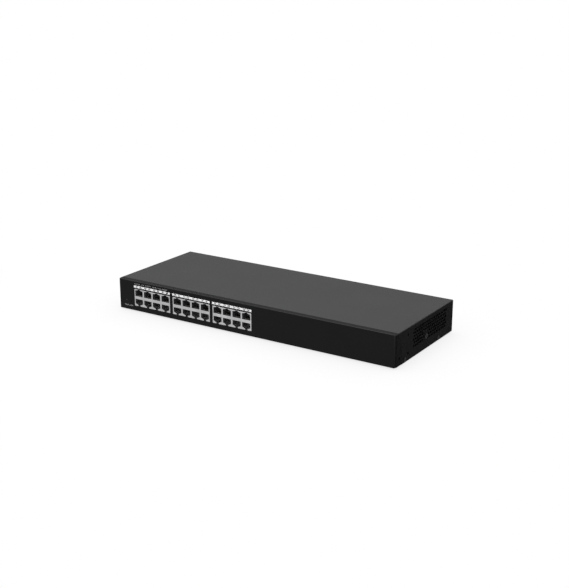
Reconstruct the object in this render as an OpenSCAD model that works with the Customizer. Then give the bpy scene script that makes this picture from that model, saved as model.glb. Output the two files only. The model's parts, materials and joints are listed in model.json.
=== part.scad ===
// Rack-width network switch with 24 stacked jacks, a moulded front bezel and a folded steel case.
// Millimetres. The part stands on its feet at z = 0, its front faces -Y, and it is centred in X and Y.
// Modules work in the case frame: x from the middle, y back from the front face, z up from the floor.

/* [Case] */
// Width across the cover
body_w = 442; // [432:1:472]
// Depth from the front face to the back edge of the cover
body_d = 165.5; // [162:0.5:220]
// Height of the case without its feet
body_h = 44; // [42.5:0.5:60]
// Sheet thickness of the cover
cover_t = 0.8; // [0.6:0.1:1.1]
// Sheet thickness of the base tray
tray_t = 1; // [0.8:0.1:1.3]
// Outside bend radius of the cover's two long folds
fold_r = 1.2; // [1.2:0.1:2.5]
// Gap between sheets that lie together
sheet_gap = 0.1; // [0.05:0.05:0.2]
// Height of the cover's lip down the back
lip_h = 9; // [8:0.5:10]
// Height of the tray's side flanges
flange_h = 9; // [8:0.5:11]
// Radius of a foot
foot_r = 6.5; // [5:0.5:9]
// Height of a foot
foot_h = 2; // [1.5:0.5:5]
// Distance of the feet from the case's edges
foot_inset = 26; // [22:1:40]

/* [Front bezel] */
// Thickness of the bezel's front plate
plate_t = 2.2; // [1.8:0.1:3]
// Thickness of the bezel's top and side returns
return_t = 2; // [1.6:0.1:2.4]
// Depth of the top return
top_return = 7.5; // [6.5:0.5:10]
// Depth of the side returns in their lower part
side_return = 16.6; // [15.6:0.2:19]
// Height up to which a side return keeps its full depth
side_full_h = 28.8; // [27:0.2:32]
// Height from which a side return is as deep as the top one
side_narrow_h = 38; // [36:0.2:40]
// Rounding of the two upright front corners
corner_r = 3; // [2:0.2:4]
// Rounding of the front face's four corners
face_corner_r = 3; // [1:0.2:4]
// Angle at which that rounding fades out towards the back
corner_fade = 8; // [6:1:12]
// Rounding along the foot of the side returns
low_corner_r = 0.6; // [0.4:0.1:1]
// Rounding of the front edge at the top
top_edge_r = 1.2; // [0.4:0.1:2]
// Rounding of the front edge at the bottom
low_edge_r = 1; // [0.5:0.1:1.6]
// Seam between the bezel and the cover
seam = 0.4; // [0.15:0.05:0.5]

/* [Ports] */
// Distance of the first block from the left side of the case
block_margin = 28.3; // [27.5:0.1:42]
// Gap between neighbouring blocks
block_gap = 5.1; // [3:0.1:6]
// Width of a block
block_w = 63.2; // [63:0.1:65.4]
// Height of a block
block_h = 24.6; // [24.6:0.1:26]
// Depth of a block
block_d = 26; // [22:1:30]
// Set-back of the block's face behind the front face
block_inset = 0.2; // [0:0.1:1]
// Clearance round a block in the bezel
block_fit = 0.3; // [0.2:0.05:0.5]
// Sheet thickness of a block's shield
shield_t = 0.3; // [0.2:0.05:0.4]
// Spacing of the jacks along a block
port_pitch = 15.7; // [15:0.05:16]
// Width of a jack's mouth
port_w = 11.8; // [11.6:0.1:12.4]
// Overhang of a shield's opening past each side of the mouth
shield_over = 0.75; // [0.3:0.05:0.9]
// Depth of the slanted lead-in at a mouth's sides
lead_in = 2; // [1:0.1:3]
// Height of the straight part of a mouth
port_h = 6.7; // [6.5:0.1:7.2]
// Height of the slanted shoulders above it
shoulder_h = 2; // [1:0.1:2.6]
// Extra height of the straight part in the upper row's mouths
upper_rise = 1.5; // [0:0.1:1.6]
// Width of the latch notch
latch_w = 4.1; // [3.4:0.1:5]
// Wall between a latch notch and the outside of the housing
latch_wall = 0.8; // [0.6:0.05:1]
// Height of the bar between the two rows
bar_h = 4.2; // [3.8:0.1:5]
// Depth of a jack's cavity
cavity_d = 13; // [11:0.5:15]
// Spacing of the contacts
contact_pitch = 1.02; // [0.9:0.02:1.1]
// Width of a contact
contact_w = 0.46; // [0.3:0.02:0.6]
// Thickness of a contact
contact_t = 0.3; // [0.2:0.05:0.35]
// Height of a contact's free end
contact_rise = 2; // [1.6:0.1:2.1]

/* [Label strips and lights] */
// Overhang of a label strip past each end of its block
strip_over = 0.5; // [0:0.1:1]
// Height of a label strip
strip_h = 3.1; // [2.6:0.1:3.8]
// Thickness of a label strip
strip_t = 0.3; // [0.2:0.05:0.5]
// Height of a label strip above its block
strip_gap = 2.1; // [1:0.05:2.2]
// Radius of a port light's window
window_r = 0.6; // [0.4:0.05:0.7]
// Distance of a port light from the middle of its column
window_dx = 1.3; // [1.1:0.1:1.6]
// Clearance round a light pipe
pipe_fit = 0.1; // [0.05:0.05:0.2]
// Distance of the power light from the left side of the case
power_margin = 13.5; // [13:0.1:15]
// Height of the power light
power_z = 13.8; // [12.5:0.1:15]
// Radius of the power light
power_r = 1; // [0.6:0.1:1.3]

/* [Reset button] */
// Distance of the pinhole from the left side of the case
reset_margin = 21.7; // [21:0.1:22.5]
// Height of the pinhole
reset_z = 12.2; // [11:0.1:14]
// Radius of the pinhole
pinhole_r = 0.9; // [0.6:0.1:1.2]
// Radius of the button's stem
button_r = 1.6; // [1.2:0.1:1.8]
// Travel of the button
button_travel = 0.3; // [0.2:0.05:0.6]
// Running clearance of the stem in the switch
button_fit = 0.06; // [0.04:0.02:0.1]

/* [Side walls] */
// Radius of a vent hole
vent_r = 2.05; // [1.6:0.05:2.2]
// Spacing of the vent holes along a row
vent_pitch = 5.06; // [4.8:0.02:5.4]
// Rows of vent holes
vent_rows = 6; // [3:1:6]
// Vent holes in a row
vent_count = 19; // [8:1:20]
// First hole of the top row, back from the front face
vent_y = 52.7; // [50:0.1:56]
// Height of the top row
vent_z = 36.2; // [35:0.1:37]
// Radius of a rack-ear screw hole
ear_hole_r = 2.05; // [1.6:0.05:2.3]
// Spacing of the rack-ear screw holes, both ways
ear_pitch = 24.1; // [23:0.1:25]
// Place of the rear pair of rack-ear holes
ear_y = 34.5; // [33.5:0.1:36]
// Height of the lower rack-ear holes
ear_z = 9.8; // [9:0.1:11]
// Radius of the pip that locates a side return
pip_r = 1; // [0.7:0.1:1.4]
// Place of that pip
pip_y = 8.4; // [7.5:0.1:9.5]
// Height of that pip
pip_z = 21; // [18:0.5:23]

/* [Screws] */
// Thread radius of the case screws
screw_r = 1.5; // [1.2:0.1:1.8]
// Clearance round a screw in a tapped hole
thread_fit = 0.05; // [0.03:0.01:0.1]
// Clearance round a screw in a plain hole
screw_fit = 0.25; // [0.15:0.05:0.4]
// Head radius of the case screws
head_r = 2.7; // [2.3:0.1:3]
// Head height of the case screws
head_h = 0.9; // [0.6:0.1:1.3]
// Length of a case screw under its head
screw_l = 5; // [4:0.5:8]
// Height of the screws along the foot of each side
low_screw_z = 4.2; // [3.8:0.1:5]
// Place of the front one
low_screw_front = 25.6; // [24:0.1:26]
// Place of the rear one
low_screw_rear = 121.7; // [110:0.1:140]
// Place of the screw among the vents
wall_screw_y = 84.9; // [80:0.1:100]
// Height of the screw among the vents
wall_screw_z = 17.4; // [16:0.1:22]
// Head radius of the screw among the vents
wall_head_r = 3.3; // [2.8:0.1:3.6]
// Distance of the outer screws along the back lip from the sides of the case
back_screw_margin = 70; // [30:5:120]

/* [Boards] */
// Thickness of the circuit boards
board_t = 1.6; // [1.2:0.1:2]
// Height of the main board's standoffs
standoff_h = 5.1; // [4:0.1:5.6]
// Radius of a standoff
standoff_r = 3; // [2.4:0.1:3.5]
// Depth of the main board
board_d = 112; // [108:1:118]
// Main board to the left of the first block
board_left = 18.2; // [18:0.1:20]
// Main board to the right of the last block
board_right = 15; // [14:0.5:30]
// Radius of the board screws
board_screw_r = 1.25; // [1:0.05:1.5]
// Height of the supply board's standoffs
supply_standoff_h = 6; // [5:0.5:6.5]
// Width of the supply board
supply_w = 104; // [104:1:108]
// Depth of the supply board
supply_d = 80; // [78:1:82]
// Supply board's distance from the side of the case
supply_inset = 16; // [14:0.5:18]
// Supply board's distance from the back of the case
supply_back = 36; // [35:0.5:38]

/* [Power inlet] */
// Distance of the inlet's middle from the right side of the case
inlet_margin = 56; // [52:0.5:60]
// Height of the inlet's middle
inlet_z = 20.5; // [19:0.5:22]
// Width of the socket
socket_w = 24.4; // [24:0.1:25]
// Height of the socket
socket_h = 16.6; // [16:0.1:17]
// Depth of the socket
socket_d = 15.5; // [15:0.1:16]
// Cut corners of the socket
socket_cut = 4; // [3:0.1:4.5]
// Wall of the inlet's body
inlet_wall = 1.6; // [1.4:0.1:2]
// Thickness of the inlet's flange
inlet_flange_t = 2; // [1.6:0.1:2.2]
// Width of the inlet's flange
inlet_flange_w = 49; // [48:0.5:52]
// Spacing of the inlet's two screws
inlet_screw_pitch = 40; // [39:0.5:41]
// Half the spacing of the two live pins
pin_dx = 7; // [6.8:0.1:7.2]
// Rise of the earth pin above the live pins
earth_rise = 4; // [3.6:0.1:4.2]
// Width of a pin
pin_w = 4; // [3.8:0.1:4.2]
// Thickness of a pin
pin_t = 2; // [1.8:0.1:2.1]
// Distance of the earth screw from the inlet's middle
ground_dx = 46; // [40:1:60]
// Height of the earth screw
ground_z = 14; // [12:0.5:18]
// Thread radius of the earth screw
ground_r = 2; // [1.5:0.1:2.2]
// Head height of the earth screw
ground_head_h = 2.6; // [2:0.1:3.5]
// Thickness of the earth washer
washer_t = 0.8; // [0.6:0.1:1.2]

/* [Hidden] */
$fn = 48;
eps = 0.01;
far = 500;

// Planes of the case
half_w = body_w / 2;
cover_in_x = half_w - cover_t;
cover_in_z = body_h - cover_t;
tray_x = cover_in_x - sheet_gap;
return_in_x = half_w - return_t;
return_in_z = body_h - return_t;
tab_x = return_in_x - sheet_gap;
wall_y = plate_t + sheet_gap;
wall_in_y = wall_y + tray_t;
top_seam_y = top_return + seam;
tongue_z = return_in_z - sheet_gap - cover_t;
flange_y = side_return + seam;
back_y = body_d - cover_t - sheet_gap;
back_in_y = back_y - tray_t;
ground_head_y = back_y + washer_t;
front_y = -(ground_head_y + ground_head_h) / 2;

// Places across the back
inlet_x = half_w - inlet_margin;
ground_x = inlet_x - ground_dx;
back_screw_x = half_w - back_screw_margin;

// Levels of the boards
board_z = tray_t + standoff_h;
board_top = board_z + board_t;
supply_z = tray_t + supply_standoff_h;
supply_top = supply_z + board_t;

// Blocks and their columns
BLOCKS = [0, 1, 2];
COLUMNS = [0, 1, 2, 3];
ROWS = [-1, 1];
CONTACTS = [0:7];
column_mid = 1.5;
contact_mid = 3.5;
block_z = board_top;
block_mid_z = block_z + block_h / 2;
block_back_y = block_inset + block_d;
shell_fit = 0.05;
block_pitch = block_w + block_gap;
field_x = block_margin + block_w / 2 + block_pitch - half_w;
strip_w = block_w + 2 * strip_over;
power_x = power_margin - half_w;
reset_x = reset_margin - half_w;
contact_set_back = 4;
contact_tip_gap = 3;
housing_y = block_inset + shield_t + shell_fit;
strip_z = block_z + block_h + strip_gap + strip_h / 2;
upper_lift = upper_rise / 4;
function mouth_side(r) = port_h + (r > 0 ? upper_rise : 0);
function mouth_top(r) = port_h + shoulder_h + (r > 0 ? upper_lift : 0);
function block_at(i) = field_x + (i - 1) * block_pitch;
function column_at(i, c) = block_at(i) + (c - column_mid) * port_pitch;

// Places on the main board
board_y = wall_in_y + 2;
board_x0 = block_at(0) - block_w / 2 - board_left;
board_x1 = block_at(2) + block_w / 2 + board_right;
board_back_y = board_y + board_d;
led_y = block_back_y + 3;
led_size = [1.6, 1.6, 0.8];
led_gap = 0.3;
power_led_y = board_y + 4;
magnetics_y = led_y + 13;
chips_y = magnetics_y + 34;
edge_inset = 6;
BOARD_HOLES = [
  [board_x0 + edge_inset, led_y + 5], [board_x1 - edge_inset, led_y + 5],
  [board_x0 + edge_inset, board_back_y - edge_inset], [board_x1 - edge_inset, board_back_y - edge_inset],
  [field_x, board_back_y - edge_inset]
];
switch_size = [19, 19, 1.6];
phy_size = [14, 14, 1.2];
phy_dx = 58;
magnetics_size = [14, 12, 5.5];
switch_sink = [38, 38, 16];
phy_sink = [24, 24, 11];
fin_t = 1.5;
memory_dy = 8;
memory_size = [13, 8, 1.1];
flash_size = [6, 5, 1.6];
crystal_size = [5, 3.2, 1];
header_size = [13, 6, 8];
header_wall = 1;
plug_fit = 0.3;
plug_size = header_size - [2 * (header_wall + plug_fit), 2 * (header_wall + plug_fit), header_wall - 4];
board_header_x = board_x1 - header_size.x / 2 - 2;
board_header_y = chips_y + 24;
inductor_w = 10;
board_can_r = 4;
board_can_h = 10;
board_can_dy = 14;
can_roll = 0.5;
power_parts_x = field_x + phy_dx + phy_sink.x / 2 + inductor_w / 2 + 2;
board_screw_grip = 3;

// Places on the supply board
supply_x1 = half_w - supply_inset;
supply_x0 = supply_x1 - supply_w;
supply_y1 = back_y - supply_back;
supply_y0 = supply_y1 - supply_d;
supply_mid_x = (supply_x0 + supply_x1) / 2;
film_over = 3;
film_t = 0.4;
SUPPLY_HOLES = [for (x = [supply_x0 + edge_inset, supply_x1 - edge_inset],
                     y = [supply_y0 + edge_inset, supply_y1 - edge_inset]) [x, y]];
dc_header_x = supply_x0 + 20;
dc_header_y = supply_y0 + header_size.y / 2 + 1;
ac_header_x = inlet_x;
ac_header_y = supply_y1 - header_size.y / 2 - 1;
core_size = [32, 16, 26];
core_x = supply_mid_x + 2;
core_y = supply_y0 + 36;
leg_w = 10;
window_w = 6.5;
yoke_h = 4;
sink_size = [46, 3, 25];
sink_y = [core_y - 22, core_y + 19];
sink_x = supply_mid_x - 8;
transistor_size = [10, 4.4, 15];
pin_length = 5;
bulk_r = 9;
bulk_h = 30;
output_r = 5;
output_h = 20;
output_pitch = 2 * output_r + 2;
filter_dy = 30;
fuse_dy = 25;
choke_r = 9;
choke_h = 12;
choke_foot = 1.5;
filter_size = [18, 8, 14];
fuse_l = 20;
fuse_r = 2.4;

// Places on the back and the sides
flange_over = 1;
inlet_body_w = socket_w + 2 * inlet_wall;
inlet_body_h = socket_h + 2 * inlet_wall;
inlet_flange_h = inlet_body_h + 2 * flange_over;
inlet_face_y = back_y + inlet_flange_t;
inlet_floor_y = inlet_face_y - socket_d;
inlet_back_y = inlet_floor_y - inlet_wall;
tag_l = 7;
inlet_fit = 0.2;
flange_corner_r = 4;
pin_set_back = 4.5;
lug_r = ground_r + 2.2;
washer_r = ground_r + 3;
SIDES = [-1, 1];
ear_front_y = ear_y - ear_pitch;
ear_tab_w = 13;
ear_tab_h = ear_z + ear_pitch + 4.5;
wall_tab_w = 12;
wall_tab_h = wall_screw_z + 5.5;
vent_row_pitch = vent_pitch * sqrt(3) / 2;
vent_clear = wall_head_r + vent_r + 0.7;
tab_h = pip_z + 4;
BACK_SCREWS = [-back_screw_x, 0, back_screw_x];
back_screw_z = body_h - lip_h / 2;
FEET = [for (sx = SIDES, y = [foot_inset, body_d - foot_inset]) [sx * (half_w - foot_inset), y]];

// Stem of the reset button in its switch
switch_body = [6, 4, 7.4];
stem_gap = 0.8;
stem_seat = 2.2;
button_y = wall_in_y + stem_gap;
reset_body_y = button_y + 2.6;
button_back_y = reset_body_y + stem_seat;
stop_gap = 0.2;

// Leads
WIRE_SIDES = 8;
WIRE_RINGS = 9;
wire_r = 0.9;
wire_pitch = 2.2;
harness_rise = 17;
wire_ref = [0.31, 0.17, 0.93];
lead_gap = 0.6;

// Sets the case frame's origin in the part's own frame
module place() translate([0, front_y, foot_h]) children();

// A block given by its lowest and highest corners
module span(low, high) translate(low) cube(high - low);

// A block standing on a level, given by the middle of its foot
module standing(x, y, z, size) translate([x - size.x / 2, y - size.y / 2, z]) cube(size);

// A cylinder along Y and one along X
module rod_y(x, z, y0, y1, r) translate([x, y0, z]) rotate([-90, 0, 0]) cylinder(h = y1 - y0, r = r);
module rod_x(y, z, x0, x1, r) translate([x0, y, z]) rotate([0, 90, 0]) cylinder(h = x1 - x0, r = r);

// Extrudes an outline drawn in x and z backwards, or one drawn in y and z to the right
module extrude_y(y0, y1) translate([0, y1, 0]) rotate([90, 0, 0]) linear_extrude(y1 - y0) children();
module extrude_x(x0, x1) translate([x0, 0, 0]) rotate([90, 0, 90]) linear_extrude(x1 - x0) children();

// Takes a round corner off an outline: (sx, sy) is the way from the corner into the outline
module corner_cut(x, y, sx, sy, r) translate([x, y]) scale([sx, sy]) difference() {
  translate([-eps, -eps]) square(r + eps);
  translate([r, r]) circle(r);
}

// A pan-head screw along +Y, its head's seat at the origin and its head towards -Y
module pan_screw(r, l, hr, hh) {
  slot = hr * 0.6;
  slot_w = hr / 3;
  slot_d = hh / 2;
  difference() {
    union() {
      rod_y(0, 0, -hh, 0, hr);
      rod_y(0, 0, -eps, l, r);
    }
    for (a = [0, 90]) rotate([0, a, 0])
      span([-slot, -hh - eps, -slot_w / 2], [slot, slot_d - hh, slot_w / 2]);
  }
}

// A lead of round section along a list of points
function unit(v) = v / norm(v);
function heading(p, i) = unit(p[min(i + 1, len(p) - 1)] - p[max(i - 1, 0)]);
function ring(p, t, r) = let (u = unit(cross(t, wire_ref)), w = cross(t, u))
  [for (k = [0:WIRE_SIDES - 1]) let (a = 360 * k / WIRE_SIDES) p + r * (cos(a) * u + sin(a) * w)];
function curve(a, b, c, d) = [for (i = [0:WIRE_RINGS - 1]) let (t = i / (WIRE_RINGS - 1), s = 1 - t)
  s * s * s * a + 3 * s * s * t * b + 3 * s * t * t * c + t * t * t * d];
module lead(p, r) {
  n = len(p);
  s = WIRE_SIDES;
  points = [for (i = [0:n - 1]) each ring(p[i], heading(p, i), r)];
  sides = [for (i = [0:n - 2], k = [0:s - 1])
    [i * s + k, (i + 1) * s + k, (i + 1) * s + (k + 1) % s, i * s + (k + 1) % s]];
  near = [for (k = [0:s - 1]) k];
  end = [for (k = [s - 1:-1:0]) (n - 1) * s + k];
  polyhedron(points, concat([near], sides, [end]));
}

// Outline of a side return in y and z
module return_outline(grow) {
  polygon([[-eps, 0], [side_return + grow, 0], [side_return + grow, side_full_h],
           [top_return + grow, side_narrow_h], [top_return + grow, body_h], [-eps, body_h]]);
}

// The bezel's outer form, rounded in all three views
module bezel_form() difference() {
  intersection() {
    linear_extrude(body_h) difference() {
      translate([-half_w, 0]) square([body_w, side_return]);
      for (s = SIDES) corner_cut(s * half_w, 0, -s, 1, corner_r);
    }
    extrude_y(0, side_return) difference() {
      translate([-half_w, 0]) square([body_w, body_h]);
      for (s = SIDES) corner_cut(s * half_w, 0, -s, 1, low_corner_r);
      for (s = SIDES) corner_cut(s * half_w, body_h, -s, -1, fold_r);
    }
    extrude_x(-half_w, half_w) difference() {
      intersection() {
        return_outline(0);
        square([side_return, body_h]);
      }
      corner_cut(0, body_h, 1, -1, top_edge_r);
      corner_cut(0, 0, 1, 1, low_edge_r);
    }
  }
  for (s = SIDES, t = SIDES) translate([s * half_w, 0, t > 0 ? body_h : 0])
    rotate([t * corner_fade, 0, -s * corner_fade]) extrude_y(-corner_r, side_return)
      corner_cut(0, 0, -s, -t, face_corner_r);
}

// Space round a jack block in the bezel and the tray's front wall
module block_window(i, y0, y1) {
  span([block_at(i) - block_w / 2 - block_fit, y0, block_z - block_fit],
       [block_at(i) + block_w / 2 + block_fit, y1, block_z + block_h + block_fit]);
}

// Repeats its child at each port light of a block
module at_windows(i) {
  for (c = COLUMNS, s = SIDES) translate([column_at(i, c) + s * window_dx, 0, strip_z]) children();
}

module front_bezel() color([0.11, 0.11, 0.12]) place() difference() {
  bezel_form();
  span([-return_in_x, plate_t, -eps], [return_in_x, far, return_in_z]);
  for (i = BLOCKS) {
    block_window(i, -eps, plate_t + eps);
    span([block_at(i) - strip_w / 2 - shell_fit, -eps, strip_z - strip_h / 2 - shell_fit],
         [block_at(i) + strip_w / 2 + shell_fit, strip_t, strip_z + strip_h / 2 + shell_fit]);
    at_windows(i) rod_y(0, 0, 0, plate_t + eps, window_r + pipe_fit);
  }
  rod_y(power_x, power_z, -eps, plate_t + eps, power_r + pipe_fit);
  rod_y(reset_x, reset_z, -eps, plate_t + eps, pinhole_r);
  rod_x(ear_front_y, ear_z, -far, far, ear_hole_r);
  rod_x(pip_y, pip_z, -far, far, pip_r + shell_fit);
}

module port_strips() color([0.95, 0.95, 0.95]) place() for (i = BLOCKS) difference() {
  span([block_at(i) - strip_w / 2, 0, strip_z - strip_h / 2],
       [block_at(i) + strip_w / 2, strip_t, strip_z + strip_h / 2]);
  at_windows(i) rod_y(0, 0, -eps, strip_t + eps, window_r + pipe_fit);
}

// One half of the tray's folded sides, on the side s
module tray_side(s) scale([s, 1, 1]) {
  span([tray_x - tray_t, flange_y, 0], [tray_x, back_y, flange_h]);
  span([tray_x - tray_t, ear_y - ear_tab_w / 2, 0], [tray_x, ear_y + ear_tab_w / 2, ear_tab_h]);
  span([tray_x - tray_t, wall_screw_y - wall_tab_w / 2, 0],
       [tray_x, wall_screw_y + wall_tab_w / 2, wall_tab_h]);
  span([tab_x - tray_t, wall_y, 0], [tab_x, side_return - seam, tab_h]);
  rod_x(pip_y, pip_z, tab_x - eps, half_w - sheet_gap, pip_r);
}

module base_tray() color([0.32, 0.33, 0.35]) place() difference() {
  union() {
    span([-tab_x, wall_y, 0], [tab_x, flange_y + eps, tray_t]);
    span([-tray_x, flange_y, 0], [tray_x, back_y, tray_t]);
    span([-tab_x, wall_y, 0], [tab_x, wall_in_y, return_in_z - sheet_gap]);
    extrude_y(back_in_y, back_y) difference() {
      translate([-tray_x, 0]) square([2 * tray_x, cover_in_z - sheet_gap]);
      for (s = SIDES) corner_cut(s * tray_x, cover_in_z - sheet_gap, -s, -1, fold_r);
    }
    for (s = SIDES) tray_side(s);
  }
  for (i = BLOCKS) {
    block_window(i, 0, wall_in_y + eps);
    at_windows(i) rod_y(0, 0, 0, wall_in_y + eps, window_r + 2 * pipe_fit);
  }
  rod_y(power_x, power_z, 0, wall_in_y + eps, power_r + 2 * pipe_fit);
  rod_y(reset_x, reset_z, 0, wall_in_y + eps, button_r);
  for (z = [ear_z, ear_z + ear_pitch]) rod_x(ear_y, z, -far, far, ear_hole_r);
  rod_x(ear_front_y, ear_z, -far, far, ear_hole_r);
  for (y = [low_screw_front, low_screw_rear]) rod_x(y, low_screw_z, -far, far, screw_r + thread_fit);
  rod_x(wall_screw_y, wall_screw_z, -far, far, screw_r + thread_fit);
  for (x = BACK_SCREWS) rod_y(x, back_screw_z, back_in_y - eps, far, screw_r + thread_fit);
  span([inlet_x - inlet_body_w / 2 - inlet_fit, back_in_y - eps, inlet_z - inlet_body_h / 2 - inlet_fit],
       [inlet_x + inlet_body_w / 2 + inlet_fit, far, inlet_z + inlet_body_h / 2 + inlet_fit]);
  at_inlet_screws() rod_y(0, 0, back_in_y - eps, far, screw_r + thread_fit);
  rod_y(ground_x, ground_z, back_in_y - eps, far, ground_r + thread_fit);
}

// The cover's folded section in x and z, set in from its outside by t
module cover_section(t) difference() {
  translate([t - half_w, -eps]) square([body_w - 2 * t, body_h - t + eps]);
  for (s = SIDES) corner_cut(s * (half_w - t), body_h - t, -s, -1, fold_r - t);
}

// Vent holes through both sides, left out round the screw among them
module vents() {
  for (r = [0:vent_rows - 1], c = [0:vent_count - 1]) {
    y = vent_y + c * vent_pitch - (r % 2) * vent_pitch / 2;
    z = vent_z - r * vent_row_pitch;
    if (norm([y - wall_screw_y, z - wall_screw_z]) > vent_clear) rod_x(y, z, -far, far, vent_r);
  }
}

module top_cover() color([0.27, 0.28, 0.29]) place() difference() {
  union() {
    intersection() {
      extrude_y(top_seam_y, body_d) difference() {
        cover_section(0);
        cover_section(cover_t);
      }
      span([-far, 0, 0], [far, far, far]);
    }
    span([-cover_in_x, body_d - cover_t, body_h - lip_h], [cover_in_x, body_d, cover_in_z + eps]);
    span([-tab_x, top_seam_y, tongue_z], [tab_x, top_seam_y + cover_t, cover_in_z + eps]);
    span([-tab_x, wall_in_y + sheet_gap, tongue_z], [tab_x, top_seam_y + eps, tongue_z + cover_t]);
  }
  for (s = SIDES) scale([s, 1, 1]) extrude_x(tab_x + sheet_gap, far) return_outline(seam);
  vents();
  for (z = [ear_z, ear_z + ear_pitch]) rod_x(ear_y, z, -far, far, ear_hole_r);
  for (y = [low_screw_front, low_screw_rear]) rod_x(y, low_screw_z, -far, far, screw_r + screw_fit);
  rod_x(wall_screw_y, wall_screw_z, -far, far, screw_r + screw_fit);
  for (x = BACK_SCREWS) rod_y(x, back_screw_z, back_y, far, screw_r + screw_fit);
}

module rubber_feet() color([0.08, 0.08, 0.08]) place() for (p = FEET) translate([p.x, p.y, -foot_h])
  rotate_extrude() polygon([[0, foot_h / 4], [foot_r / 2, foot_h / 4], [foot_r / 2 + foot_h / 4, 0],
                            [foot_r - foot_h / 4, 0], [foot_r, foot_h], [0, foot_h]]);

// Screws on both sides whose heads sit on the cover at height z
module side_screws(y, z, hr) for (s = SIDES) translate([s * half_w, y, z]) rotate([0, 0, s * 90])
  pan_screw(screw_r, screw_l, hr, head_h);

module cover_side_screws() color([0.2, 0.2, 0.21]) place()
  for (y = [low_screw_front, low_screw_rear]) side_screws(y, low_screw_z, head_r);

module wall_screws() color([0.2, 0.2, 0.21]) place()
  side_screws(wall_screw_y, wall_screw_z, wall_head_r);

module cover_rear_screws() color([0.2, 0.2, 0.21]) place() for (x = BACK_SCREWS)
  translate([x, body_d, back_screw_z]) rotate([0, 0, 180]) pan_screw(screw_r, screw_l, head_r, head_h);

// Outline of one mouth of width w in row r, in x and z: z = 0 is its contact side, its latch notch
// ends at h
module port_outline(w, r, h) polygon([
  [-w / 2, 0], [w / 2, 0], [w / 2, mouth_side(r)], [latch_w / 2, mouth_top(r)], [latch_w / 2, h],
  [-latch_w / 2, h], [-latch_w / 2, mouth_top(r)], [-w / 2, mouth_side(r)]]);

// Slanted lead-in on both sides of a mouth, drawn in x and y and raised over its straight part
module mouth_flare(r) linear_extrude(mouth_side(r)) polygon([
  [-port_w / 2 - shield_over, 0], [port_w / 2 + shield_over, 0], [port_w / 2 + shield_over, housing_y],
  [port_w / 2, housing_y + lead_in], [-port_w / 2, housing_y + lead_in],
  [-port_w / 2 - shield_over, housing_y]]);

// Repeats its child at each jack of a block's rows, with the contact side at z = 0 and the latch
// towards +z
module at_ports(i, rows = ROWS) for (c = COLUMNS, r = rows)
  translate([column_at(i, c), 0, block_mid_z + r * bar_h / 2]) scale([1, 1, r]) children();

module jack_housing(i) color([0.05, 0.05, 0.05]) place() difference() {
  span([block_at(i) - block_w / 2 + shield_t + shell_fit, housing_y, block_z],
       [block_at(i) + block_w / 2 - shield_t - shell_fit, block_back_y - shield_t - shell_fit,
        block_z + block_h - shield_t - shell_fit]);
  for (r = ROWS) at_ports(i, [r]) {
    extrude_y(0, block_inset + cavity_d)
      port_outline(port_w, r, (block_h - bar_h) / 2 - latch_wall);
    mouth_flare(r);
  }
}
module jack_housing_left() jack_housing(0);
module jack_housing_middle() jack_housing(1);
module jack_housing_right() jack_housing(2);

module jack_shield(i) color([0.75, 0.76, 0.78]) place() difference() {
  span([block_at(i) - block_w / 2, block_inset, block_z],
       [block_at(i) + block_w / 2, block_back_y, block_z + block_h]);
  span([block_at(i) - block_w / 2 + shield_t, block_inset + shield_t, -eps],
       [block_at(i) + block_w / 2 - shield_t, block_back_y - shield_t, block_z + block_h - shield_t]);
  for (r = ROWS) at_ports(i, [r]) extrude_y(0, block_inset + shield_t + eps)
    port_outline(port_w + 2 * shield_over, r, block_h);
}
module jack_shield_left() jack_shield(0);
module jack_shield_middle() jack_shield(1);
module jack_shield_right() jack_shield(2);

// One bent contact in y and z: a leg along the cavity's wall and a spring arm that rises to the back
module contact_outline() {
  front = housing_y + contact_set_back;
  back = block_inset + cavity_d;
  tip = back - contact_tip_gap;
  polygon([[back, 0], [front, 0], [front, 2 * contact_t], [tip, contact_rise],
           [tip, contact_rise - contact_t], [front + 2 * contact_t, contact_t], [back, contact_t]]);
}
module jack_contacts(i) color([0.83, 0.66, 0.3]) place() at_ports(i) for (k = CONTACTS)
  translate([(k - contact_mid) * contact_pitch, 0, 0])
    extrude_x(-contact_w / 2, contact_w / 2) contact_outline();
module jack_contacts_left() jack_contacts(0);
module jack_contacts_middle() jack_contacts(1);
module jack_contacts_right() jack_contacts(2);

// Fingers that carry the port lights over a block, joined by a bar, with legs down to the lamps
module light_pipe(i) color([0.85, 0.9, 0.9, 0.8]) place() {
  bar_y = top_seam_y + cover_t;
  bar_w = 2;
  leg = 2 * window_r;
  for (c = COLUMNS, s = SIDES) {
    x = column_at(i, c) + s * window_dx;
    rod_y(x, strip_z, 0, bar_y + bar_w / 2, window_r);
    span([x - window_r, bar_y + bar_w / 2, strip_z - window_r],
         [x + window_r, led_y + window_r, strip_z + window_r]);
    span([x - window_r, led_y - window_r, board_top + led_size.z + led_gap],
         [x + window_r, led_y + window_r, strip_z + window_r]);
  }
  span([column_at(i, 0) - window_dx - leg, bar_y, strip_z - leg],
       [column_at(i, 3) + window_dx + leg, bar_y + bar_w, strip_z + leg]);
}
module light_pipe_left() light_pipe(0);
module light_pipe_middle() light_pipe(1);
module light_pipe_right() light_pipe(2);

module status_leds() color([0.85, 0.85, 0.75]) place() {
  for (i = BLOCKS, c = COLUMNS, s = SIDES)
    standing(column_at(i, c) + s * window_dx, led_y, board_top, led_size);
  span([power_x - led_size.x, power_led_y, board_top],
       [power_x + led_size.x, power_led_y + 2 * led_size.y, power_z + led_size.x]);
}

module power_light_pipe() color([0.3, 0.32, 0.33, 0.8]) place()
  rod_y(power_x, power_z, 0, power_led_y - led_gap, power_r);

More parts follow.
